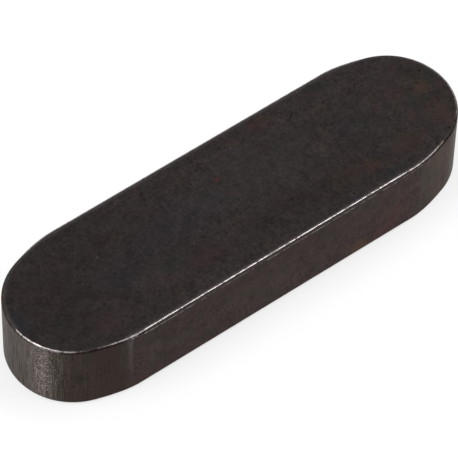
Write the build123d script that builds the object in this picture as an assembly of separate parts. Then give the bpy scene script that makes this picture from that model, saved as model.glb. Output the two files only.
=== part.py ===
from build123d import *
from math import radians, sin
import os

# Round-ended parallel key, cut from drawn key steel.  Millimetres.
# The key lies along X on its bottom face.  The origin is the centre of that
# face, and the flanks that fit the keyway face -Y and +Y.

# Drawn bar
length = 125.0              # over both round ends
width = 36.0                # between the flanks
height = 20.0               # bottom face to top face
edge_chamfer = 0.9          # 45 degree leg on the four long edges of the bar

# Milled round ends
cutter_undersize = 1.7      # the form cutter's radius is this much under half the width
tip_half_angle = 69.0       # the cutter's true radius runs this far each side of the tip
lip_flare = 0.8             # the cutter's lips turn parallel to the flank this far outside it
rim_radius = 0.8            # rounding left by deburring the rims of the ends


def cutter_outline():
    """Draw in plan what the form cutter leaves of an endless bar, at both ends."""
    tip_radius = width / 2 - cutter_undersize
    lip = width / 2 + lip_flare
    turn = radians(tip_half_angle)
    # The lip's arc leaves the tip tangentially and ends parallel to the flank.
    lip_radius = (lip - tip_radius * sin(turn)) / (1 - sin(turn))
    with BuildLine() as outline:
        tip_centre = (length / 2 - tip_radius, 0)
        tip = CenterArc(tip_centre, tip_radius, -tip_half_angle, 2 * tip_half_angle)
        shoulder = JernArc(tip @ 1, tip % 1, lip_radius, 90 - tip_half_angle)
        mirror(shoulder, about=Plane.XZ)
        mirror(about=Plane.YZ)
        run_out = (shoulder @ 1).X
        for side in (-lip, lip):
            Line((-run_out, side), (run_out, side))
    return outline.wire()


def milled_block():
    """Make the cutter's outline at full height, with its rims deburred."""
    with BuildPart() as block:
        with BuildSketch():
            make_face(cutter_outline())
        extrude(amount=height)
        rims = block.edges().filter_by(Axis.Z, reverse=True)
        fillet(rims, rim_radius)
    return block.part


def drawn_bar():
    """Make the bar with its long edges chamfered, before its ends are milled."""
    with BuildPart() as bar:
        Box(length, width, height, align=(Align.CENTER, Align.CENTER, Align.MIN))
        chamfer(bar.edges().filter_by(Axis.X), edge_chamfer)
    return bar.part


# The key is what the bar and the milled block share.  The lips flare past the
# bar, so each shoulder meets the flank in a shallow vertical crease, and each
# long chamfer runs out in the shoulder just beyond it.
parallel_key = drawn_bar() & milled_block()

os.makedirs("parts", exist_ok=True)
export_step(parallel_key, "parts/parallel_key.step")
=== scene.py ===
"""Looks of a round-ended parallel key of drawn steel, and the studio round it.

The key lies along X on its bottom face, and the floor is at Z = 0.  Blender works in
metres.  Sizes are given in millimetres and multiplied by MM where they are used.
"""

import logging
import math
from dataclasses import dataclass, field
from enum import Enum
from typing import Any, Callable

import bmesh
import bpy
import numpy as np
from mathutils import Matrix, Quaternion, Vector
from mathutils.kdtree import KDTree


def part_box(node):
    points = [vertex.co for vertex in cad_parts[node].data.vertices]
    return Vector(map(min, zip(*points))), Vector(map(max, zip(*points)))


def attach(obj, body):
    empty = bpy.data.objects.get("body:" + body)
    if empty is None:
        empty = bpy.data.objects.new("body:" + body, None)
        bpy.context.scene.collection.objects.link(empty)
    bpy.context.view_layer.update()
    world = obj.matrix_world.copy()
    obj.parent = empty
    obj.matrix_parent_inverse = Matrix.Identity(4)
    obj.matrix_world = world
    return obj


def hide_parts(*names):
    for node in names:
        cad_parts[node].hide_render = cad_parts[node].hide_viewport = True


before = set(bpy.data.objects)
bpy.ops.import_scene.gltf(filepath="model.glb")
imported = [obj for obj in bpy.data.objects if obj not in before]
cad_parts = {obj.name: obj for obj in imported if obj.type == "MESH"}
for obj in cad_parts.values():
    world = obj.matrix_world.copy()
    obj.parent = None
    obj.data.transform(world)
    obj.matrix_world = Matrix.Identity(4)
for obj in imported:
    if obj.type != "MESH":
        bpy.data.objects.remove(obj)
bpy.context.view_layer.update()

log = logging.getLogger("parallel_key")

MM = 0.001
CAD_NODE = "parallel_key"
BODY = "root"
WELD = 0.0005 * MM          # points nearer than this are one point

Tree = bpy.types.NodeTree
Socket = bpy.types.NodeSocket
Layer = tuple[Socket, str]  # a share, and the colour that it lays over those before

# Sockets of a Mix node that share their names with others, and so go by number
COLOUR_A, COLOUR_B, COLOUR_OUT = 6, 7, 2
NUMBER_A, NUMBER_B, NUMBER_OUT = 2, 3, 0


def linear(hex_colour: str) -> tuple[float, float, float, float]:
    """Turn an sRGB colour to linear light.

    Args:
        hex_colour: The colour as "#rrggbb".

    Returns:
        Red, green, blue and alpha, linear, from 0 to 1.
    """
    parts = [int(hex_colour[i:i + 2], 16) / 255 for i in (1, 3, 5)]
    bent = [c / 12.92 if c <= 0.04045 else ((c + 0.055) / 1.055) ** 2.4 for c in parts]
    return (bent[0], bent[1], bent[2], 1.0)


def add_node(tree: Tree, kind: str, inputs: dict | None = None,
             **settings: Any) -> bpy.types.Node:
    """Add a node to a tree, set it up and link it.

    Args:
        tree: The node tree that gets the node.
        kind: The node's type name.
        inputs: What goes into each input, by name or number: an output socket of
            another node, which is linked, or a plain value.
        **settings: The node's own properties.

    Returns:
        The new node.
    """
    node = tree.nodes.new(kind)
    for name, value in settings.items():
        setattr(node, name, value)
    for key, value in (inputs or {}).items():
        if isinstance(value, Socket):
            tree.links.new(value, node.inputs[key])
        else:
            node.inputs[key].default_value = value
    return node


class Element(Enum):
    """The kinds of mesh element that a pick can select."""

    VERTS = "VERT"
    EDGES = "EDGE"
    FACES = "FACE"


def pick(obj: bpy.types.Object, element: Element, keep: Callable[[Any], bool]) -> int:
    """Select, in edit mode, the elements that pass a test, and no others.

    Args:
        obj: The mesh object that is being edited.
        element: The kind of element to select.
        keep: The test, given one element.

    Returns:
        How many elements are selected.
    """
    bpy.ops.mesh.select_mode(type=element.value)
    bpy.ops.mesh.select_all(action="DESELECT")
    mesh = bmesh.from_edit_mesh(obj.data)
    elements = {Element.VERTS: mesh.verts, Element.EDGES: mesh.edges,
                Element.FACES: mesh.faces}[element]
    chosen = [item for item in elements if keep(item)]
    for item in chosen:
        item.select_set(True)
    mesh.select_flush_mode()
    bmesh.update_edit_mesh(obj.data)
    return len(chosen)


def hump(value: np.ndarray, start: float, peak: float, end: float) -> np.ndarray:
    """Rise smoothly from 0 at start to 1 at peak, and fall to 0 again at end.

    Args:
        value: The values to take the hump of.
        start: Where it leaves 0.
        peak: Where it is 1.
        end: Where it is 0 again.

    Returns:
        The height of the hump at each value.
    """
    rise = np.clip((value - start) / (peak - start), 0, 1)
    fall = np.clip((end - value) / (end - peak), 0, 1)
    t = np.minimum(rise, fall)
    return t * t * (3 - 2 * t)


class Mask(Enum):
    """Where handling has rubbed the key, where its film is untouched, and where shade and a
    highlight are painted, each kept as an attribute of its mesh.
    """

    ROLLED = "rubbed_rolled_edge"       # the rim of a wide face, all the way round
    CORNER = "rubbed_flank_corner"      # the corner between a long edge and its flank
    CREASE = "rubbed_crease"            # the light upright line where a shoulder meets a flank: partly rubbed, partly a painted highlight
    HALO = "rubbed_face_margin"         # the margin of a wide face, inside its rim
    SHELTERED = "sheltered_edge"        # the steep part of a long edge, with its film
    UNDERSIDE = "sooty_bottom_edge"     # the bottom edges, which nothing rubs, darkened as painted shade


@dataclass(frozen=True)
class Grain:
    """A natural pattern of soft patches at its real size, in millimetres per axis.

    A size that is long along one axis draws streaks.
    """

    size: tuple[float, float, float]
    seed: float = 0.0
    detail: float = 2.0
    harshness: float = 0.55

    def draw(self, tree: Tree, place: Socket) -> Socket:
        """Draw the pattern on the key.

        Args:
            tree: The material's tree.
            place: The object coordinates.

        Returns:
            The pattern, which swings about 0.2 round 0.5.
        """
        scaled = add_node(tree, "ShaderNodeMapping", {
            "Vector": place, "Scale": [1 / (s * MM) for s in self.size]})
        return add_node(tree, "ShaderNodeTexNoise", {
            "Vector": scaled.outputs[0], "W": self.seed, "Scale": 1.0,
            "Detail": self.detail, "Roughness": self.harshness},
            noise_dimensions="4D").outputs[0]


# Patterns that the finishes share.  The film's own grit is a few hundredths of a
# millimetre and a milling tooth leaves a line each tenth.  Both are too fine to show, so
# the fine patterns here and in the finishes are drawn as coarse as they need to be seen.
GRIT = Grain((0.5, 0.5, 0.5), seed=4.0, detail=3.0, harshness=0.7)
SAND = Grain((0.42, 0.42, 0.5), seed=6.0, detail=1.0, harshness=0.7)
SPOTTY = Grain((0.8, 0.8, 0.8), seed=5.0, detail=3.0, harshness=0.7)
CLOUDY = Grain((1.3, 1.3, 1.3), seed=5.0, detail=4.0, harshness=0.7)
SHEEN = Grain((3.5, 3.5, 3.5), seed=9.0, detail=4.0, harshness=0.6)
BLOTCHES = (Grain((1.6, 1.6, 1.6), seed=31.0, detail=3.0, harshness=0.6),
            Grain((1.9, 1.9, 1.9), seed=32.0, detail=3.0, harshness=0.6))
DRAW_LINES = Grain((7.0, 0.5, 0.5), seed=7.0, detail=3.0)       # along the bar
STREAKS = Grain((0.4, 0.4, 9.0), seed=23.0, detail=3.0, harshness=0.7)
STRIPES = (Grain((0.9, 0.9, 16.0), seed=27.0, detail=4.0, harshness=0.7),
           Grain((0.8, 0.8, 16.0), seed=28.0, detail=4.0, harshness=0.7))


@dataclass(frozen=True)
class Cast:
    """A change of the film's tint, in patches all over the finish."""

    colour: str
    patches: Grain
    strength: float
    start: float = 0.44                 # level of the pattern where a patch starts
    full: float = 0.68                  # level where it is full


@dataclass(frozen=True)
class Stain:
    """A tint that rust, damp or a scuff left at one place, in millimetres."""

    place: tuple[float, float, float]
    reach: tuple[float, float, float]
    colour: str
    strength: float
    pattern: Grain = CLOUDY
    ragged: float = 1.8                 # how far the pattern breaks it up
    full: float = 1.0                   # how solid it is in its middle
    fade: float = 0.8                   # share of its reach that it fades over


@dataclass(frozen=True)
class Wear:
    """How one kind of edge is rubbed down to bare steel; at the creases this is partly a
    painted highlight.
    """

    mask: Mask
    bare: float                         # share of bare steel where it is rubbed most
    broken: float                       # how strongly the rubbing comes and goes
    pattern: Grain
    start: float = 0.3                  # how far it is rubbed before steel shows


WEAR_AND_HIGHLIGHT = (
    Wear(Mask.ROLLED, bare=0.89, broken=3.8,
         pattern=Grain((2.0, 1.4, 1.4), seed=2.0, detail=5.0, harshness=0.85)),
    Wear(Mask.CORNER, bare=0.8, broken=3.2,
         pattern=Grain((1.6, 0.8, 0.8), seed=14.0, detail=3.0)),
    # the creases' light band: partly rubbed, partly a painted highlight
    Wear(Mask.CREASE, bare=0.06, broken=1.6,
         pattern=Grain((0.5, 0.5, 1.4), seed=15.0, detail=3.0)),
    Wear(Mask.HALO, bare=0.055, broken=1.2,
         pattern=Grain((0.6, 0.6, 0.6), seed=16.0, detail=3.0)),
)


@dataclass(frozen=True)
class Spots:
    """Small round spots, each in the middle of a cell of a cellular pattern."""

    radius: float                       # mm
    rare: float                         # share of the cells that have none
    strength: float
    core: float = 0.4                   # share of the radius that is full


@dataclass(frozen=True)
class KeySteel:
    """Drawn key steel with its dark oxide film: a thin semi-metal skin over the metal.

    The film is charcoal and satin, so it takes a soft sheen and no clear reflection.
    Where it is rubbed through, bare steel shows bright.
    """

    name: str
    dark: str                   # the film at its thickest
    light: str                  # the film at its thinnest
    grains: tuple[tuple[Grain, float], ...]     # mottle of the film, and each one's share
    spread: float               # the mottle turns from dark to light this far round 0.5
    casts: tuple[Cast, ...]
    marks: Grain                # tool marks
    mark_depth: float           # mm
    stains: tuple[Stain, ...] = ()
    film_roughness: float = 0.52
    sheen_swing: float = 0.04   # how far the roughness varies from patch to patch
    film_metal: float = 0.85
    edge_tint: str = "#ffffff"  # what light that grazes the film comes back as
    sheltered: str = "#463f3c"  # the untouched film of the long edges
    under_shade: str = "#171210"      # painted shade on the edges under the key, whose film is untouched
    bare: str = "#c6bebf"       # steel that is rubbed bright
    bare_roughness: float = 0.3
    spot_spacing: float = 2.5   # mm between the places where a spot can be
    specks: Spots = Spots(radius=0.2, rare=0.8, strength=0.2)       # of bare steel
    pits: Spots = Spots(radius=0.42, rare=0.6, strength=0.6)        # dark
    grit_height: float = 0.04   # mm
    bump_strength: float = 0.6

    def make(self) -> bpy.types.Material:
        """Build the finish as nodes.

        Returns:
            The material.
        """
        material = bpy.data.materials.new(self.name)
        material.use_nodes = True
        tree = material.node_tree
        tree.nodes.clear()
        place = add_node(tree, "ShaderNodeTexCoord").outputs["Object"]
        specks, pits = self._spots(tree, place)
        rub = add_node(tree, "ShaderNodeMath", {0: self._rub(tree, place), 1: specks},
                       operation="MAXIMUM").outputs[0]
        layers = [*self._film(tree, place), *self._stained(tree, place), (pits, self.dark)]
        # the steep upper edges keep their film, and the bottom edges are darkened as painted
        # shade
        for mask, shade in ((Mask.SHELTERED, self.sheltered), (Mask.UNDERSIDE, self.under_shade)):
            cover = add_node(tree, "ShaderNodeAttribute", attribute_name=mask.value)
            layers.append((cover.outputs["Fac"], shade))
        colour: Any = linear(self.dark)
        for share, shade in [*layers, (rub, self.bare)]:
            colour = add_node(tree, "ShaderNodeMix", {
                "Factor": share, COLOUR_A: colour, COLOUR_B: linear(shade)},
                data_type="RGBA").outputs[COLOUR_OUT]
        metal = add_node(tree, "ShaderNodeMapRange",
                         {"Value": rub, "To Min": self.film_metal, "To Max": 1.0})
        shader = add_node(tree, "ShaderNodeBsdfPrincipled", {
            "Base Color": colour, "Roughness": self._roughness(tree, place, rub),
            "Metallic": metal.outputs[0], "Specular Tint": linear(self.edge_tint),
            "Normal": self._relief(tree, place)})
        add_node(tree, "ShaderNodeOutputMaterial", {"Surface": shader.outputs[0]})
        return material

    def _film(self, tree: Tree, place: Socket) -> list[Layer]:
        """Mottle the film from dark to light, and lay its casts over it.

        Args:
            tree: The material's tree.
            place: The object coordinates.

        Returns:
            The layers over the dark colour.
        """
        level: Any = 0.0
        for grain, share in self.grains:
            level = add_node(tree, "ShaderNodeMath", {
                0: grain.draw(tree, place), 1: share, 2: level},
                operation="MULTIPLY_ADD").outputs[0]
        thin = add_node(tree, "ShaderNodeMapRange", {
            "Value": level, "From Min": 0.5 - self.spread, "From Max": 0.5 + self.spread})
        layers = [(thin.outputs[0], self.light)]
        for cast in self.casts:
            share = add_node(tree, "ShaderNodeMapRange", {
                "Value": cast.patches.draw(tree, place), "From Min": cast.start,
                "From Max": cast.full, "To Max": cast.strength})
            layers.append((share.outputs[0], cast.colour))
        return layers

    def _stained(self, tree: Tree, place: Socket) -> list[Layer]:
        """Stain the film, each stain with a ragged edge.

        Args:
            tree: The material's tree.
            place: The object coordinates.

        Returns:
            A layer for each stain.
        """
        layers = []
        for stain in self.stains:
            away = add_node(tree, "ShaderNodeMapping", {
                "Vector": place, "Location": [p * MM for p in stain.place],
                "Scale": [r * MM for r in stain.reach]}, vector_type="TEXTURE")
            length = add_node(tree, "ShaderNodeVectorMath", {0: away.outputs[0]},
                              operation="LENGTH")
            body = add_node(tree, "ShaderNodeMath", {
                0: stain.pattern.draw(tree, place), 1: stain.ragged,
                2: stain.full - stain.ragged / 2}, operation="MULTIPLY_ADD")
            near = add_node(tree, "ShaderNodeMath", {
                0: body.outputs[0], 1: length.outputs["Value"]}, operation="SUBTRACT")
            share = add_node(tree, "ShaderNodeMapRange", {
                "Value": near.outputs[0], "From Min": 0.0, "From Max": stain.fade,
                "To Max": stain.strength})
            layers.append((share.outputs[0], stain.colour))
        return layers

    def _spots(self, tree: Tree, place: Socket) -> tuple[Socket, Socket]:
        """Scatter bright specks of bare steel and small dark pits.

        Args:
            tree: The material's tree.
            place: The object coordinates.

        Returns:
            The share of speck and the share of pit.
        """
        cells = add_node(tree, "ShaderNodeTexVoronoi", {
            "Vector": place, "Scale": 1 / (self.spot_spacing * MM)})
        chance = add_node(tree, "ShaderNodeSeparateColor", {0: cells.outputs["Color"]})
        found = []
        for channel, spots in enumerate((self.specks, self.pits)):
            rim = spots.radius / self.spot_spacing
            spot = add_node(tree, "ShaderNodeMapRange", {
                "Value": cells.outputs["Distance"], "From Min": rim * spots.core,
                "From Max": rim, "To Min": spots.strength, "To Max": 0.0})
            taken = add_node(tree, "ShaderNodeMath", {
                0: chance.outputs[channel], 1: spots.rare}, operation="GREATER_THAN")
            found.append(add_node(tree, "ShaderNodeMath", {
                0: spot.outputs[0], 1: taken.outputs[0]},
                operation="MULTIPLY").outputs[0])
        return found[0], found[1]

    def _rub(self, tree: Tree, place: Socket) -> Socket:
        """Work out where bare steel shows, in broken patches along rubbed edges, with a
        painted highlight along the creases.

        Args:
            tree: The material's tree.
            place: The object coordinates.

        Returns:
            The share of bare steel, from 0 to 1.
        """
        total: Any = 0.0
        for wear in WEAR_AND_HIGHLIGHT:
            worn = add_node(tree, "ShaderNodeAttribute",
                            attribute_name=wear.mask.value).outputs["Fac"]
            patchy = add_node(tree, "ShaderNodeMapRange", {
                "Value": wear.pattern.draw(tree, place), "To Min": -wear.broken / 2,
                "To Max": wear.broken / 2}, clamp=False)
            body = add_node(tree, "ShaderNodeMath", {0: worn, 1: patchy.outputs[0]},
                            operation="ADD")
            share = add_node(tree, "ShaderNodeMapRange", {
                "Value": body.outputs[0], "From Min": wear.start, "To Max": wear.bare})
            gate = add_node(tree, "ShaderNodeMath", {0: share.outputs[0], 1: worn},
                            operation="MULTIPLY")
            total = add_node(tree, "ShaderNodeMath", {0: total, 1: gate.outputs[0]},
                             operation="MAXIMUM").outputs[0]
        return total

    def _roughness(self, tree: Tree, place: Socket,
                   rub: Socket) -> Socket:
        """Vary the film's sheen, and smooth it where it is rubbed bare.

        Args:
            tree: The material's tree.
            place: The object coordinates.
            rub: The share of bare steel.

        Returns:
            The roughness.
        """
        low, high = 0.3, 0.7  # nearly all of the pattern lies between them
        film = add_node(tree, "ShaderNodeMapRange", {
            "Value": SHEEN.draw(tree, place), "From Min": low, "From Max": high,
            "To Min": self.film_roughness - self.sheen_swing,
            "To Max": self.film_roughness + self.sheen_swing})
        return add_node(tree, "ShaderNodeMix", {
            0: rub, NUMBER_A: film.outputs[0], NUMBER_B: self.bare_roughness},
            data_type="FLOAT").outputs[NUMBER_OUT]

    def _relief(self, tree: Tree, place: Socket) -> Socket:
        """Raise the film's grit and the tool marks as bump.

        Args:
            tree: The material's tree.
            place: The object coordinates.

        Returns:
            The bent normal.
        """
        fine = add_node(tree, "ShaderNodeBump", {
            "Height": GRIT.draw(tree, place), "Strength": self.bump_strength,
            "Distance": self.grit_height * MM})
        return add_node(tree, "ShaderNodeBump", {
            "Height": self.marks.draw(tree, place), "Strength": self.bump_strength,
            "Distance": self.mark_depth * MM, "Normal": fine.outputs[0]}).outputs[0]


# The wide faces of drawn steel keep a thick black film.  It gives a warm charcoal, mottled
# at under a millimetre, with a soft satin sheen, and it rusts where damp has lain.
FACE_STEEL = KeySteel(
    name="drawn_key_steel_black_film",
    dark="#120e0d", light="#4f4746",
    grains=((Grain((0.28, 0.28, 0.28), detail=1.0), 0.36),
            (Grain((0.9, 0.9, 0.9), seed=1.0), 0.36),
            (Grain((2.6, 2.6, 2.6), seed=2.0), 0.28)),
    spread=0.185,
    casts=(
        Cast("#312c35", Grain((9.0, 7.0, 7.0), seed=3.0, detail=3.0), 0.22),
        Cast("#29302b", Grain((7.0, 5.0, 5.0), seed=8.0, detail=3.0), 0.22),
        Cast("#422e29", Grain((6.0, 5.0, 5.0), seed=12.0, detail=3.0), 0.2)),
    marks=DRAW_LINES, mark_depth=0.008,
    stains=(
        # thicker film towards -X, and painted shade over the half of the top by the -Y edge
        Stain((-58.0, 0.0, 20.0), (50.0, 40.0, 9.0), "#1c1819", 0.3, ragged=0.8),
        Stain((14.0, -10.5, 20.0), (44.0, 9.0, 9.0), "#1c1819", 0.26, ragged=0.8),
        # rust and damp in blotches over the +X end
        Stain((52.0, 0.0, 20.0), (18.0, 18.0, 9.0), "#4a332f", 0.38, BLOTCHES[0], 6.0, 0.3),
        Stain((52.0, 0.0, 20.0), (18.0, 18.0, 9.0), "#2b3228", 0.45, BLOTCHES[1], 6.0, 0.3),
        # single rust spots
        Stain((0.3, 6.9, 20.0), (1.3, 1.0, 1.1), "#66302b", 0.55),
        Stain((26.7, -9.7, 20.0), (6.0, 3.2, 3.0), "#45302c", 0.36, SPOTTY, 3.0),
        Stain((32.0, -11.4, 20.0), (2.6, 2.0, 3.0), "#523830", 0.5, SPOTTY, 3.6),
        Stain((56.3, 0.6, 20.0), (3.6, 3.2, 3.0), "#543e2c", 0.65, SPOTTY, 4.0, 0.8),
        Stain((54.9, -8.6, 20.0), (5.0, 4.5, 3.0), "#4c3834", 0.42, SPOTTY, 3.0),
        Stain((42.1, -11.1, 20.0), (7.0, 4.0, 3.0), "#47322d", 0.36, SPOTTY, 3.0),
        Stain((17.4, 14.6, 20.0), (5.0, 2.4, 3.0), "#46302d", 0.5, SPOTTY, 3.0),
        # bluish temper colours along the middle
        Stain((-33.0, -2.0, 20.0), (8.5, 5.5, 3.0), "#2a2b34", 0.34, SPOTTY, 3.0),
        Stain((-18.5, 1.6, 20.0), (10.0, 7.5, 3.0), "#282a32", 0.36, SPOTTY, 3.0),
        Stain((-5.5, 2.2, 20.0), (9.5, 6.0, 3.0), "#2e2e38", 0.32, SPOTTY, 3.0),
        Stain((34.0, 0.0, 20.0), (5.0, 8.0, 3.0), "#292b30", 0.3, SPOTTY, 3.0),
        # reddish film, mostly near the -X end
        Stain((-50.5, 3.2, 20.0), (7.0, 6.5, 3.0), "#35262a", 0.3, SPOTTY, 3.0),
        Stain((-42.5, -11.0, 20.0), (6.0, 4.5, 3.0), "#4b393c", 0.28, SPOTTY, 3.0),
        Stain((-27.3, -8.0, 20.0), (5.0, 4.0, 3.0), "#4b3b3e", 0.36, SPOTTY, 3.0),
        Stain((-15.5, -9.0, 20.0), (8.0, 5.0, 3.0), "#3c2a2d", 0.4, SPOTTY, 3.0),
        # greyer film, mid-key
        Stain((10.0, 4.0, 20.0), (19.0, 11.0, 3.0), "#3a3c39", 0.26, ragged=1.2),
        # a reddish patch by the +X tip
        Stain((50.0, 4.8, 20.0), (7.0, 5.0, 3.0), "#423239", 0.26, SPOTTY, 3.0),
        # dark, cold damp marks
        Stain((35.4, 15.1, 20.0), (5.0, 2.5, 3.0), "#282b2d", 0.5),
        Stain((34.9, -15.5, 20.0), (5.0, 2.5, 3.0), "#2a2d30", 0.5),
        Stain((60.0, 2.4, 20.0), (4.0, 5.0, 3.0), "#2a302e", 0.5),
        Stain((-61.0, 0.8, 20.0), (4.0, 5.0, 3.0), "#2c3036", 0.4),
        Stain((-22.5, -6.2, 20.0), (6.0, 2.2, 3.0), "#28302c", 0.45),
    ))

# The flanks of drawn steel have a thinner film.  It gives a deep brown that turns rosy
# and greenish, with a sharper mottle and some rust low down.
FLANK_STEEL = KeySteel(
    name="drawn_key_steel_brown_film",
    dark="#0a0808", light="#413434",
    grains=((Grain((0.34, 0.34, 0.5), detail=1.0), 0.46),
            (Grain((0.8, 0.8, 1.3), seed=1.0), 0.34),
            (Grain((4.0, 4.0, 4.0), seed=2.0), 0.20)),
    spread=0.1, film_metal=0.95, edge_tint="#fff3f1",
    casts=(
        Cast("#3a252a", Grain((8.0, 8.0, 5.0), seed=3.0, detail=3.0), 0.5),
        Cast("#272c20", Grain((7.0, 7.0, 5.0), seed=8.0, detail=3.0), 0.6)),
    marks=DRAW_LINES, mark_depth=0.006,
    stains=(
        # thicker film along the top, then rust low down
        Stain((-4.0, -18.0, 17.0), (60.0, 2.0, 7.0), "#231818", 0.35),
        Stain((23.1, -18.0, 2.2), (4.4, 2.0, 3.2), "#573e26", 0.6, SPOTTY, 3.0),
        Stain((34.4, -18.0, 6.5), (4.6, 2.0, 6.0), "#482826", 0.45, SPOTTY, 3.0),
        Stain((30.1, -18.0, 2.9), (3.6, 2.0, 4.0), "#4a2829", 0.55, SPOTTY, 3.0),
    ))

# The form-milled ends have tarnished since.  They give a dull grey-brown with upright
# tool lines, and a pale, gritty band at the tip of the -X end, partly a scuff and partly a
# painted highlight.
MILLED_STEEL = KeySteel(
    name="form_milled_key_steel_dull",
    dark="#070504", light="#493b38",
    grains=((Grain((0.34, 0.34, 0.45), detail=1.0), 0.42),
            (Grain((0.45, 0.45, 7.0), seed=1.0), 0.34),
            (Grain((2.2, 2.2, 12.0), seed=2.0), 0.24)),
    spread=0.18, film_metal=0.95, edge_tint="#f7f3ef",
    casts=(
        Cast("#3a2a28", Grain((2.5, 2.5, 18.0), seed=3.0, detail=3.0), 0.5),
        Cast("#23291f", Grain((2.0, 2.0, 18.0), seed=8.0, detail=3.0), 0.5)),
    marks=Grain((0.45, 0.45, 14.0), seed=7.0, detail=4.0), mark_depth=0.02,
    stains=(
        # the pale band at the -X tip, partly a scuff and partly a painted highlight, sandy
        # in its middle, and a dark smudge beside it
        Stain((-60.5, -4.4, 10.0), (6.5, 13.0, 90.0), "#726c67", 0.7, STREAKS, 3.0, 0.75),
        Stain((-60.2, -7.4, 9.0), (3.0, 3.1, 26.0), "#aa9a96", 0.65, SAND, 6.0, 0.5),
        Stain((-54.1, -14.2, 9.8), (2.2, 2.2, 2.8), "#191d16", 0.7),
        # painted shade, brown-tinted, on the -Y shoulders
        Stain((-48.0, -16.7, 8.0), (7.0, 4.0, 60.0), "#241817", 0.6, STREAKS, 2.0),
        Stain((50.0, -15.5, 8.0), (9.0, 5.0, 60.0), "#1a0809", 0.94, STREAKS, 2.0),
        # broad rosy and olive streaks over those
        Stain((50.0, -15.5, 8.0), (9.0, 5.0, 60.0), "#4c1f1d", 0.5, STRIPES[0], 6.0, 0.5),
        Stain((48.0, -16.5, 8.0), (4.5, 3.0, 60.0), "#3e3618", 0.45, STRIPES[1], 6.0, 0.6),
        Stain((-48.0, -16.7, 8.0), (8.0, 4.0, 60.0), "#44221f", 0.32, STRIPES[1], 6.0, 0.4),
    ), film_roughness=0.5)


@dataclass(frozen=True)
class Arc:
    """A turn of the outline about an upright axis, in millimetres and degrees."""

    centre: tuple[float, float]
    radius: float
    degrees: float


@dataclass(frozen=True)
class Run:
    """A straight stretch of the outline along X, in millimetres."""

    along_x: float


@dataclass(frozen=True)
class Press:
    """A plane that takes off the corner of a wide face and a flank."""

    lean: float                         # degrees between the plane and the wide face
    depth: float                        # mm under the sharp corner

    @property
    def on_face(self) -> float:
        """Distance from the sharp corner to where the plane leaves the wide face."""
        return self.depth / math.sin(math.radians(self.lean))

    @property
    def on_flank(self) -> float:
        """Distance from the sharp corner to where the plane leaves the flank."""
        return self.depth / math.cos(math.radians(self.lean))


@dataclass(frozen=True)
class Dents:
    """Shallow dents that one kind of rubbed edge has taken, sizes in millimetres."""

    name: str
    mask: Mask
    size: float
    depth: float
    octaves: int = 2
    contrast: float = 1.2


DENTS = (
    Dents("fine_nicks", Mask.ROLLED, size=0.8, depth=0.06),
    Dents("slow_waver", Mask.ROLLED, size=4.5, depth=0.05),
    Dents("corner_nicks", Mask.CORNER, size=1.2, depth=0.06),
)


@dataclass(frozen=True)
class Survey:
    """How each point of the mesh stands on the key, how far it is rubbed there, and where
    shade is painted.

    Each array has one value a point.  Places are in millimetres.
    """

    x: np.ndarray
    y: np.ndarray
    z: np.ndarray
    tilt: np.ndarray            # 1 on a level face, 0 on an upright wall
    margin: np.ndarray          # how far inside the rim, seen from above
    flank: np.ndarray           # 1 between the creases, fading to 0 past them
    upper: np.ndarray           # whether it is on the upper half, which is handled
    near: np.ndarray            # whether it is on the -Y side

    @property
    def run_out(self) -> np.ndarray:
        """How close it is to where the -Y long edge runs out at -X, from 0 to 1."""
        return self.near * hump(-self.x, 36.0, 41.5, 45.0)

    def rolled(self) -> np.ndarray:
        """Rub the rim of the top face, less on the shoulders and half the -X tip.

        Returns:
            The wear of each point.
        """
        end = self.x < -50  # past the shoulders, round the -X tip
        tip = end * hump(-self.y, 2.0, 9.0, 15.0)
        steep = 0.8 * hump(self.tilt, 0.2, 0.5, 0.9) * np.maximum(self.run_out, tip)
        rim = np.maximum(hump(self.tilt, 0.50, 0.88, 1.0), steep)
        right = 1 - 0.7 * hump(self.x, 46.5, 54.0, 60.5)
        left = 1 - 0.75 * hump(-self.x, 46.0, 51.5, 57.0)
        far_tip = np.where(end & ~self.near, 0.3, 1)
        return rim * (right * left) * far_tip * self.upper

    def corner(self) -> np.ndarray:
        """Rub the corner of a long edge and its flank, most by the -X, -Y crease.

        Returns:
            The wear of each point.
        """
        most = 1 + hump(-self.x, 33.0, 40.0, 44.0) * self.near
        return hump(self.tilt, 0.0, 0.19, 0.36) * self.flank * self.upper * most

    def halo(self) -> np.ndarray:
        """Lighten the margin of the top face with bare steel: wide at -Y, and narrow but
        strong at +Y.

        Returns:
            The wear of each point.
        """
        wide = np.clip(1 - self.margin / 1.5, 0, 1) ** 1.5 * (0.35 + 0.65 * self.flank)
        narrow = np.clip(1.2 - self.margin / 0.55, 0, 1) * (1 + 5 * self.flank)
        return np.where(self.near, wide, narrow) * self.upper * (self.tilt > 0.6)

    def sheltered(self) -> np.ndarray:
        """Mark the steep part of the upper long edges, except where one runs out."""
        steep = hump(self.tilt, 0.18, 0.40, 0.70)
        return steep * self.flank * (1 - self.run_out) * self.upper

    def underside(self) -> np.ndarray:
        """Mark the edges of the bottom, but not its level face, for painted shade."""
        return np.clip(self.tilt * 4, 0, 1) * (self.tilt < 0.98) * ~self.upper


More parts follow.
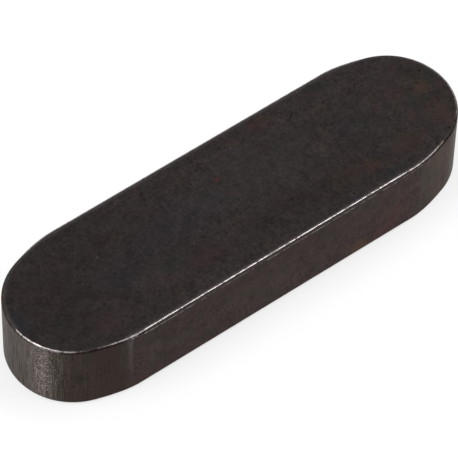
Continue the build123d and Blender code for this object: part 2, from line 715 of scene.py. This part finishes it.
@dataclass
class ParallelKey:
    """The key's body, in millimetres.  Length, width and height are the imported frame's."""

    length: float
    width: float
    height: float
    rolled: Press = Press(lean=28.5, depth=0.324)   # upper part of a long edge
    edge: Press = Press(lean=68.6, depth=0.376)     # lower part, down to the flank
    cutter_undersize: float = 1.7       # form cutter's radius, under half the width
    tip_half_angle: float = 69.0        # true radius each side of the tip, degrees
    lip_flare: float = 0.8              # cutter lips, outside the flank
    rim_radius: float = 0.8             # deburred rims of the ends
    rim_segments: int = 10
    soft_reach: float = 0.15            # softened round each corner of a long edge
    soft_past: float = 1.0              # and this far past the creases
    soft_passes: int = 2
    crease_reach: float = 9.0           # eased zone each side of a crease
    crease_passes: int = 300            # enough to ease a crease by 0.2 mm
    column: float = 0.3                 # width of the mesh's columns
    face_rings: tuple[float, ...] = (0.13, 0.17, 0.3, 0.6, 1.2)     # each inside the last
    wall_rings: tuple[float, ...] = (   # all from the rims' rounds
        0.09, 0.18, 0.27, 0.4, 0.7, 1.3, 2.7, 4.3, 5.9, 7.5)
    face_grid: float = 4.0              # cells of the wide faces inside their rings
    smooth_below: float = 40.0          # degrees; sharper edges stay sharp
    wall_tilt: float = 0.85             # faces more upright than this are walls
    obj: bpy.types.Object = field(init=False)

    def build(self) -> bpy.types.Object:
        """Model the key, wear its edges and dress it.

        Returns:
            The finished mesh object.
        """
        self._stand_edge()
        self._walk_outline()
        self._divide_runs()
        self._plane_flanks()
        self._ease_creases()
        self._close_faces()
        self._deburr_rims()
        self._add_rings()
        self._press_edges()
        self._grid_faces()
        self._rub_corners()
        bpy.ops.object.mode_set(mode="OBJECT")
        self._mark_wear_and_painted_light()
        self._nick()
        bpy.ops.object.shade_smooth_by_angle(angle=math.radians(self.smooth_below))
        self._dress()
        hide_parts(CAD_NODE)
        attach(self.obj, BODY)
        return self.obj

    @property
    def tip_radius(self) -> float:
        """Radius of the form cutter."""
        return self.width / 2 - self.cutter_undersize

    @property
    def lip_radius(self) -> float:
        """Radius of the cutter's lips, which end parallel to the flank."""
        turn = math.sin(math.radians(self.tip_half_angle))
        return (self.width / 2 + self.lip_flare - self.tip_radius * turn) / (1 - turn)

    @property
    def lip_turn(self) -> float:
        """Angle from a crease to the end of the lip's arc, in degrees."""
        return math.degrees(math.acos(1 - self.lip_flare / self.lip_radius))

    @property
    def lip_centre(self) -> tuple[float, float]:
        """Find the centre of the arc of the +X, +Y shoulder, which lies across the key.

        Returns:
            Its X and Y.
        """
        turn = math.radians(self.tip_half_angle)
        back = self.lip_radius - self.tip_radius
        return (self.length / 2 - self.tip_radius - back * math.cos(turn),
                -back * math.sin(turn))

    @property
    def crease_x(self) -> float:
        """Distance of the creases from the middle of the key, along X."""
        return self.lip_centre[0] + self.lip_radius * math.sin(math.radians(self.lip_turn))

    def _stand_edge(self) -> None:
        """Stand an upright edge, as tall as the key, at the tip of the +X end."""
        tip = (self.length / 2 * MM, 0, self.height / 2 * MM)
        bpy.ops.object.select_all(action="DESELECT")
        bpy.ops.mesh.primitive_plane_add(size=self.height * MM, location=tip,
                                         rotation=(math.pi / 2, 0, 0))
        self.obj = bpy.context.object
        self.obj.name = self.obj.data.name = "parallel_key_body"
        bpy.ops.object.transform_apply()
        bpy.ops.object.mode_set(mode="EDIT")
        bpy.ops.mesh.select_all(action="SELECT")
        bpy.ops.transform.resize(value=(0, 1, 1), center_override=tip)
        bpy.ops.mesh.remove_doubles(threshold=WELD)

    def _outline(self) -> list[Arc | Run]:
        """List the turns and runs of the outline, from the +X tip and round by +Y.

        Returns:
            The steps, in order.
        """
        tip_x = self.length / 2 - self.tip_radius
        lip_x, lip_y = self.lip_centre
        shoulder_turn = 90 - self.tip_half_angle - self.lip_turn

        def corner(x: int, y: int) -> list[Arc]:
            """Turn one quarter of the outline, from the tip to the end of the lip.

            Args:
                x: 1 for a quarter at +X, -1 for one at -X.
                y: The same for Y.

            Returns:
                Its arcs.
            """
            lip = (x * lip_x, y * lip_y)
            return [Arc((x * tip_x, 0), self.tip_radius, self.tip_half_angle),
                    Arc(lip, self.lip_radius, shoulder_turn),
                    Arc(lip, self.lip_radius, self.lip_turn)]

        return [*corner(1, 1), Run(-2 * lip_x), *reversed(corner(-1, 1)),
                *corner(-1, -1), Run(2 * lip_x), *reversed(corner(1, -1))]

    def _walk_outline(self) -> None:
        """Sweep the upright edge once round the plan of the form cutter's path.

        A spin turns clockwise about its axis, so the axis points down.
        """
        for step in self._outline():
            if isinstance(step, Run):
                bpy.ops.mesh.extrude_region_move(
                    TRANSFORM_OT_translate={"value": (step.along_x * MM, 0, 0)})
                continue
            angle = math.radians(step.degrees)
            bpy.ops.mesh.spin(
                steps=round(step.radius * angle / self.column), angle=angle,
                center=(step.centre[0] * MM, step.centre[1] * MM, 0), axis=(0, 0, -1))
        bpy.ops.mesh.select_all(action="SELECT")
        bpy.ops.mesh.remove_doubles(threshold=WELD)

    def _divide_runs(self) -> None:
        """Divide the two straight runs into columns, in two goes of as many parts."""
        parts = round(math.sqrt(2 * self.lip_centre[0] / self.column))
        for _ in range(2):
            pick(self.obj, Element.EDGES, lambda e: abs(
                (e.verts[0].co - e.verts[1].co).x) > 2 * self.column * MM)
            bpy.ops.mesh.subdivide(number_cuts=parts - 1)

    def _flatten(self, point: Vector, normal: Vector) -> None:
        """Press every point that stands outside a plane onto it.

        Args:
            point: A point on the plane, in metres.
            normal: The plane's outward direction, of length 1.
        """
        found = pick(self.obj, Element.VERTS,
                     lambda v: (v.co - point).dot(normal) > WELD / 4)
        if found:
            side = normal.orthogonal().normalized()
            axes = Matrix((side, normal.cross(side), normal)).transposed()
            bpy.ops.transform.resize(
                value=(1, 1, 0), orient_type="GLOBAL", orient_matrix=axes,
                orient_matrix_type="GLOBAL", constraint_axis=(False, False, True),
                center_override=point)

    def _plane_flanks(self) -> None:
        """Bring what the flared lips left outside the bar back to its flanks."""
        for side in (-1, 1):
            self._flatten(Vector((0, side * self.width / 2 * MM, 0)), Vector((0, side, 0)))

    def _ease_creases(self) -> None:
        """Ease the outline where the shoulders meet the flanks, as tumbling does."""
        pick(self.obj, Element.VERTS, lambda v: abs(
            abs(v.co.x) - self.crease_x * MM) < self.crease_reach * MM)
        bpy.ops.mesh.vertices_smooth(factor=0.5, repeat=self.crease_passes,
                                      xaxis=False, zaxis=False)

    def _level(self, z: float) -> Callable[[Any], bool]:
        """Make a test for elements that lie flat at a height in millimetres."""
        return lambda item: all(abs(v.co.z - z * MM) < WELD for v in item.verts)

    def _close_faces(self) -> None:
        """Close the bottom and the top with a face each."""
        for z in (0, self.height):
            pick(self.obj, Element.EDGES, self._level(z))
            bpy.ops.mesh.edge_face_add()
        bpy.ops.mesh.select_all(action="SELECT")
        bpy.ops.mesh.normals_make_consistent(inside=False)

    def _deburr_rims(self) -> None:
        """Round the rims that the cutter left."""
        for z in (0, self.height):
            pick(self.obj, Element.EDGES, self._level(z))
            bpy.ops.mesh.bevel(offset=self.rim_radius * MM, segments=self.rim_segments,
                               profile=0.5, affect="EDGES", clamp_overlap=False)

    def _add_rings(self) -> None:
        """Ring the wide faces and the wall, closely beside the rims and edges."""
        for z in (0, self.height):
            pick(self.obj, Element.FACES, self._level(z))
            for inset in self.face_rings:
                bpy.ops.mesh.inset(thickness=inset * MM, depth=0)
        for step in self.wall_rings:
            for z in (self.rim_radius + step, self.height - self.rim_radius - step):
                bpy.ops.mesh.select_all(action="SELECT")
                bpy.ops.mesh.bisect(plane_co=(0, 0, z * MM), plane_no=(0, 0, 1),
                                    threshold=WELD)

    def _press_edges(self) -> None:
        """Press the rims to the shape of the drawn bar's long edges."""
        for press in (self.rolled, self.edge):
            lean = math.radians(press.lean)
            for side in (-1, 1):
                for z, up in ((0, -1), (self.height, 1)):
                    out = Vector((0, side * math.sin(lean), up * math.cos(lean)))
                    corner = Vector((0, side * self.width / 2, z)) * MM
                    self._flatten(corner - out * press.depth * MM, out)

    def _grid_faces(self) -> None:
        """Divide the middle of each wide face into cells."""
        for z in (0, self.height):
            for axis, reach in ((0, self.length / 2), (1, self.width / 2)):
                for n in range(1, round(2 * reach / self.face_grid)):
                    pick(self.obj, Element.FACES,
                         lambda f: len(f.verts) > 4 and self._level(z)(f))
                    point, normal = [0.0, 0.0, 0.0], [0.0, 0.0, 0.0]
                    point[axis] = (n * self.face_grid - reach) * MM
                    normal[axis] = 1.0
                    bpy.ops.mesh.bisect(plane_co=point, plane_no=normal, threshold=WELD)

    def _rub_corners(self) -> None:
        """Soften the corners of the long edges, as handling does."""
        half, high = self.width / 2 * MM, self.height * MM
        reach = (self.crease_x + self.soft_past) * MM
        corners = [(half - self.rolled.on_face * MM, high),
                   (half, high - self.edge.on_flank * MM)]

        def by_corner(v: Any) -> bool:
            """Tell whether a point is beside a corner of a long edge.

            Args:
                v: The point of the mesh.

            Returns:
                Whether it is.
            """
            y, z = abs(v.co.y), max(v.co.z, high - v.co.z)
            near = min(math.hypot(y - cy, z - cz) for cy, cz in corners)
            return abs(v.co.x) < reach and near < self.soft_reach * MM

        pick(self.obj, Element.VERTS, by_corner)
        bpy.ops.mesh.vertices_smooth(factor=0.5, repeat=self.soft_passes)
        bpy.ops.mesh.select_all(action="SELECT")
        bpy.ops.mesh.normals_make_consistent(inside=False)

    def _mark_wear_and_painted_light(self) -> None:
        """Write down, point by point, how far each kind of edge is rubbed, where a highlight
        is painted along the creases and where shade is painted under the key.
        """
        at = self._survey()
        masks = {Mask.ROLLED: at.rolled(), Mask.CORNER: at.corner(), Mask.HALO: at.halo(),
                 Mask.SHELTERED: at.sheltered(), Mask.UNDERSIDE: at.underside(),
                 Mask.CREASE: self._crease_wear_and_highlight(at)}
        least = 0.001  # fainter weights stay out of the groups
        for mask, values in masks.items():
            attribute = self.obj.data.attributes.new(mask.value, "FLOAT", "POINT")
            attribute.data.foreach_set("value", values.astype(np.float32))
            group = self.obj.vertex_groups.new(name=mask.value)
            for index in np.flatnonzero(values > least):
                group.add([int(index)], float(values[index]), "REPLACE")

    def _survey(self) -> Survey:
        """Find how each point of the mesh stands on the key.

        Returns:
            The survey.
        """
        mesh = self.obj.data
        place, normal = np.empty((2, len(mesh.vertices) * 3))
        mesh.vertices.foreach_get("co", place)
        mesh.vertex_normals.foreach_get("vector", normal)
        place, normal = place.reshape(-1, 3), normal.reshape(-1, 3)
        x, y, z = place.T / MM
        fade = 2.0  # mm past a crease
        return Survey(
            x, y, z, tilt=np.abs(normal[:, 2]), margin=self._margin(place),
            flank=np.clip((self.crease_x + fade - np.abs(x)) / fade, 0, 1),
            upper=z > self.height / 2, near=y < 0)

    def _margin(self, place: np.ndarray) -> np.ndarray:
        """Measure how far each point stands inside the rim, seen from above.

        Args:
            place: The points, in metres.

        Returns:
            The distances in millimetres, 0 on the rim.
        """
        band = 3  # mm round mid-height, where the wall is upright
        wall = [p for p in place if abs(p[2] - self.height / 2 * MM) < band * MM]
        tree = KDTree(len(wall))
        for index, p in enumerate(wall):
            tree.insert((p[0], p[1], 0), index)
        tree.balance()
        deep = np.array([tree.find((p[0], p[1], 0))[2] for p in place]) / MM
        return np.clip(deep - self.rim_radius, 0, None)

    def _crease_wear_and_highlight(self, at: Survey) -> np.ndarray:
        """Mark the light band where the cutter's lips ended, partly rubbed and partly a
        painted highlight: a plain band at -X, a faint one at +X.

        Args:
            at: The survey of the mesh.

        Returns:
            The mark at each point, stronger towards the top.
        """
        crease = self.crease_x
        left = hump(-at.x, crease - 0.8, crease + 0.6, crease + 2.5)
        right = 0.7 * hump(at.x, crease + 1.7, crease + 2.5, crease + 3.3)
        wall = np.abs(at.y) > self.width / 2 - 1.4
        rising = np.clip(at.z / 12 - 0.25, 0, 1)  # from 3 mm up to 15 mm
        top = np.clip(at.z / 2 - 8.25, 0, 1)  # from 16.5 mm up to 18.5 mm
        return (left + right) * wall * (0.4 + 0.6 * rising + top)

    def _nick(self) -> None:
        """Dent the rubbed corners inwards, with fine nicks and a slow waver."""
        for dents in DENTS:
            noise = bpy.data.textures.new(dents.name, "CLOUDS")
            noise.noise_scale = dents.size * MM
            noise.noise_depth = dents.octaves
            noise.contrast = dents.contrast
            dent = self.obj.modifiers.new(dents.name, "DISPLACE")
            dent.texture = noise
            dent.texture_coords = "LOCAL"
            dent.vertex_group = dents.mask.value
            dent.mid_level = 1.0
            dent.strength = dents.depth * MM
            bpy.ops.object.modifier_apply(modifier=dents.name)

    def _dress(self) -> None:
        """Give the wide faces, the flanks and the milled ends their own finish."""
        for finish in (FACE_STEEL, FLANK_STEEL, MILLED_STEEL):
            self.obj.data.materials.append(finish.make())
        flank, milled_end = 1, 2  # places in that list; a wide face keeps the first
        edge = self.crease_x * MM
        for face in self.obj.data.polygons:
            if abs(face.normal.z) < self.wall_tilt:
                past = abs(face.center.x) > edge
                face.material_index = milled_end if past else flank


@dataclass
class Lamp:
    """A soft box that looks at the key, in metres and watts."""

    name: str
    towards: tuple[float, float, float]     # from the key to the lamp
    distance: float
    wide: float                             # across the key's Y
    deep: float                             # along the key's Y
    power: float

    def hang(self) -> None:
        """Add the lamp and turn it to the key, with its deep side along Y."""
        way = Vector(self.towards).normalized()
        along = (Vector((0, 1, 0)) - way * way.y).normalized()
        bpy.ops.object.light_add(type="AREA", location=way * self.distance)
        lamp = bpy.context.object
        lamp.name = self.name
        lamp.rotation_euler = Matrix(
            (along.cross(way), along, way)).transposed().to_euler()
        lamp.data.shape = "RECTANGLE"
        lamp.data.size, lamp.data.size_y = self.wide, self.deep
        lamp.data.energy = self.power


@dataclass
class Studio:
    """The pale floor, the soft light and the camera."""

    floor_size: float = 8.0             # metres
    floor_drop: float = 0.02            # mm under the key
    floor_colour: str = "#b0b0b0"
    floor_lift: float = 0.64            # added to what is seen of it, so it reads as white
    sky_strength: float = 0.5
    lamps: tuple[Lamp, ...] = (
        Lamp("soft_box_left", towards=(-0.5, 0.13, 0.85), distance=1.2,
             wide=0.5, deep=0.5, power=3.9),
        Lamp("soft_strip_right", towards=(0.41, -0.24, 0.88), distance=1.2,
             wide=0.26, deep=0.8, power=3.9))
    azimuth: float = -38.49             # degrees; 0 looks along +Y
    elevation: float = 52.98            # degrees above the floor
    roll: float = 1.64                  # degrees
    lens: float = 318.6                 # mm
    sensor: float = 36.0                # mm
    distance: float = 948.6             # mm
    aim: tuple[float, float, float] = (-1.415, -0.284, 10.0)    # mm
    clip: tuple[float, float] = (0.05, 50.0)                    # metres

    def build(self) -> None:
        """Lay the floor, hang the lamps and set up the camera."""
        self._floor()
        self._sky()
        for lamp in self.lamps:
            lamp.hang()
        self._camera()

    def _floor(self) -> None:
        """Lay a plain pale floor that keeps the key's shadow."""
        bpy.ops.object.select_all(action="DESELECT")
        bpy.ops.mesh.primitive_plane_add(size=self.floor_size,
                                         location=(0, 0, -self.floor_drop * MM))
        floor = bpy.context.object
        floor.name = "studio_floor"
        bpy.ops.object.transform_apply()
        material = bpy.data.materials.new("matt_white_paper")
        material.use_nodes = True
        tree = material.node_tree
        tree.nodes.clear()
        paper = add_node(tree, "ShaderNodeBsdfDiffuse",
                         {"Color": linear(self.floor_colour)})
        rays = add_node(tree, "ShaderNodeLightPath")
        seen: Any = 0.0
        for ray in ("Is Camera Ray", "Is Glossy Ray", "Is Transmission Ray"):
            seen = add_node(tree, "ShaderNodeMath", {0: seen, 1: rays.outputs[ray]},
                            operation="ADD").outputs[0]
        lift = add_node(tree, "ShaderNodeMath", {0: seen, 1: self.floor_lift},
                        operation="MULTIPLY")
        glow = add_node(tree, "ShaderNodeEmission", {"Strength": lift.outputs[0]})
        both = add_node(tree, "ShaderNodeAddShader", {
            0: paper.outputs[0], 1: glow.outputs[0]})
        add_node(tree, "ShaderNodeOutputMaterial", {"Surface": both.outputs[0]})
        floor.data.materials.append(material)

    def _sky(self) -> None:
        """Fill the studio with even white light."""
        world = bpy.data.worlds.new("studio_fill")
        world.use_nodes = True
        world.node_tree.nodes.clear()
        fill = add_node(world.node_tree, "ShaderNodeBackground", {
            "Color": (1, 1, 1, 1), "Strength": self.sky_strength})
        add_node(world.node_tree, "ShaderNodeOutputWorld", {"Surface": fill.outputs[0]})
        bpy.context.scene.world = world

    def _camera(self) -> None:
        """Place the camera with its long lens."""
        a, e = math.radians(self.azimuth), math.radians(self.elevation)
        back = Vector((math.sin(a) * math.cos(e), -math.cos(a) * math.cos(e),
                       math.sin(e)))
        bpy.ops.object.camera_add(
            location=Vector(self.aim) * MM + back * self.distance * MM)
        camera = bpy.context.object
        camera.name = "studio_camera"
        turn = Quaternion((0, 0, 1), math.radians(self.roll))
        camera.rotation_mode = "QUATERNION"
        camera.rotation_quaternion = (-back).to_track_quat("-Z", "Y") @ turn
        camera.data.sensor_width = self.sensor
        camera.data.lens = self.lens
        camera.data.clip_start, camera.data.clip_end = self.clip
        bpy.context.scene.camera = camera


def main() -> None:
    """Build the studio and the key, and report each piece."""
    logging.basicConfig(level=logging.INFO, format="%(name)s: %(message)s")
    low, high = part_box(CAD_NODE)
    length, width, height = (high - low) / MM
    studio = Studio()
    studio.build()
    log.info("studio: floor, %d lamps and camera", len(studio.lamps))
    key = ParallelKey(round(length, 3), round(width, 3), round(height, 3)).build()
    log.info("%s: %d points, %d faces", key.name, len(key.data.vertices),
             len(key.data.polygons))
    bpy.context.scene.view_settings.view_transform = "Standard"


if __name__ == "__main__":
    main()
